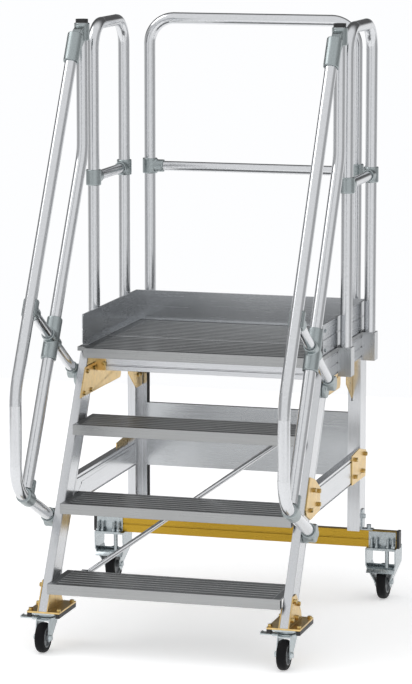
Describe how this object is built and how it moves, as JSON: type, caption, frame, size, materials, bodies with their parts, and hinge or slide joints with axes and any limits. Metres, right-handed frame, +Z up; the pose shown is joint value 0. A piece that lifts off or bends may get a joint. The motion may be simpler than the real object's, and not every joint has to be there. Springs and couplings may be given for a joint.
{
  "type": "mobile platform steps",
  "caption": "Wheeled aluminium platform steps with ribbed treads, toe boards, tubular handrails, guard hoops and castors.",
  "frame": {"origin": "centre of the bounding box on the floor, z = 0 at the castor treads", "axes": "+X to the right of a person facing the steps, +Y from the steps towards the rear guard, +Z up"},
  "size_m": [1.116, 1.29, 2.038],
  "materials": {
    "ribbed_alloy": "ribbed mill-finish extrusion, satin",
    "tube_alloy": "satin drawn tube",
    "cast_alloy": "satin tumbled casting",
    "profile_alloy": "satin mill-finish extrusion",
    "sheet_alloy": "smooth rolled sheet",
    "yellow_zinc": "yellow-passivated zinc",
    "gold_anodised": "gold anodised, satin",
    "bright_zinc": "bright zinc plated",
    "black_plastic": "moulded black plastic",
    "pad_rubber": "matt black rubber",
    "tyre_rubber": "matt black tyre rubber",
    "wheel_plastic": "grey moulded plastic"
  },
  "bodies": {
    "frame": {"stringer_left": "profile_alloy", "stringer_right": "profile_alloy", "tread_1": "ribbed_alloy", "tread_2": "ribbed_alloy", "tread_3": "ribbed_alloy", "tread_brackets": "bright_zinc", "deck_plank_front": "ribbed_alloy", "deck_plank_rear": "ribbed_alloy", "platform_front_beam": "profile_alloy", "platform_side_beam_left": "profile_alloy", "platform_side_beam_right": "profile_alloy", "platform_rear_beam": "profile_alloy", "toe_board_left": "sheet_alloy", "toe_board_right": "sheet_alloy", "toe_board_rear": "sheet_alloy", "rear_post_left": "profile_alloy", "rear_post_right": "profile_alloy", "side_braces": "profile_alloy", "rear_panel": "sheet_alloy", "edge_strips": "black_plastic", "diagonal_brace": "tube_alloy", "platform_gussets": "yellow_zinc", "post_gussets": "yellow_zinc", "brace_brackets": "yellow_zinc", "crossbeam": "gold_anodised", "end_caps": "black_plastic", "post_feet": "bright_zinc", "handrail_left": "tube_alloy", "handrail_right": "tube_alloy", "knee_rail_left": "tube_alloy", "knee_rail_right": "tube_alloy", "struts": "tube_alloy", "rail_connectors": "cast_alloy", "rail_clamps": "cast_alloy", "stringer_lugs": "cast_alloy", "guard_hoop_left": "tube_alloy", "guard_hoop_right": "tube_alloy", "guard_hoop_rear": "tube_alloy", "mid_rails": "tube_alloy", "mid_rail_clamps": "cast_alloy", "hoop_holders": "profile_alloy", "front_feet": "yellow_zinc", "foot_pads": "pad_rubber", "front_castor_plates": "bright_zinc", "rear_castor_brackets": "bright_zinc", "rear_fork_left": "bright_zinc", "rear_fork_right": "bright_zinc", "frame_bolts": "bright_zinc"},
    "front_swivel_left": {"front_fork_left": "bright_zinc"},
    "front_wheel_left": {"front_hub_left": "wheel_plastic", "front_tyre_left": "tyre_rubber"},
    "brake_left": {"brake_pedal_left": "bright_zinc"},
    "rear_wheel_left": {"rear_hub_left": "wheel_plastic", "rear_tyre_left": "tyre_rubber"},
    "front_swivel_right": {"front_fork_right": "bright_zinc"},
    "front_wheel_right": {"front_hub_right": "wheel_plastic", "front_tyre_right": "tyre_rubber"},
    "brake_right": {"brake_pedal_right": "bright_zinc"},
    "rear_wheel_right": {"rear_hub_right": "wheel_plastic", "rear_tyre_right": "tyre_rubber"}
  },
  "joints": [
    {"name": "castor_swivel_left", "type": "hinge", "parent": "frame", "child": "front_swivel_left", "pos_m": [-0.408, -0.435, 0.115], "axis": [0, 0, 1], "continuous": true},
    {"name": "front_wheel_spin_left", "type": "hinge", "parent": "front_swivel_left", "child": "front_wheel_left", "pos_m": [-0.408, -0.477, 0.05], "axis": [1, 0, 0], "continuous": true},
    {"name": "brake_press_left", "type": "hinge", "parent": "front_swivel_left", "child": "brake_left", "pos_m": [-0.45, -0.435, 0.106], "axis": [0, -1, 0], "range_deg": [0, 10]},
    {"name": "rear_wheel_spin_left", "type": "hinge", "parent": "frame", "child": "rear_wheel_left", "pos_m": [-0.496, 0.565, 0.0625], "axis": [1, 0, 0], "continuous": true},
    {"name": "castor_swivel_right", "type": "hinge", "parent": "frame", "child": "front_swivel_right", "pos_m": [0.408, -0.435, 0.115], "axis": [0, 0, 1], "continuous": true},
    {"name": "front_wheel_spin_right", "type": "hinge", "parent": "front_swivel_right", "child": "front_wheel_right", "pos_m": [0.408, -0.477, 0.05], "axis": [1, 0, 0], "continuous": true},
    {"name": "brake_press_right", "type": "hinge", "parent": "front_swivel_right", "child": "brake_right", "pos_m": [0.366, -0.435, 0.106], "axis": [0, -1, 0], "range_deg": [0, 10]},
    {"name": "rear_wheel_spin_right", "type": "hinge", "parent": "frame", "child": "rear_wheel_right", "pos_m": [0.496, 0.565, 0.0625], "axis": [1, 0, 0], "continuous": true}
  ]
}
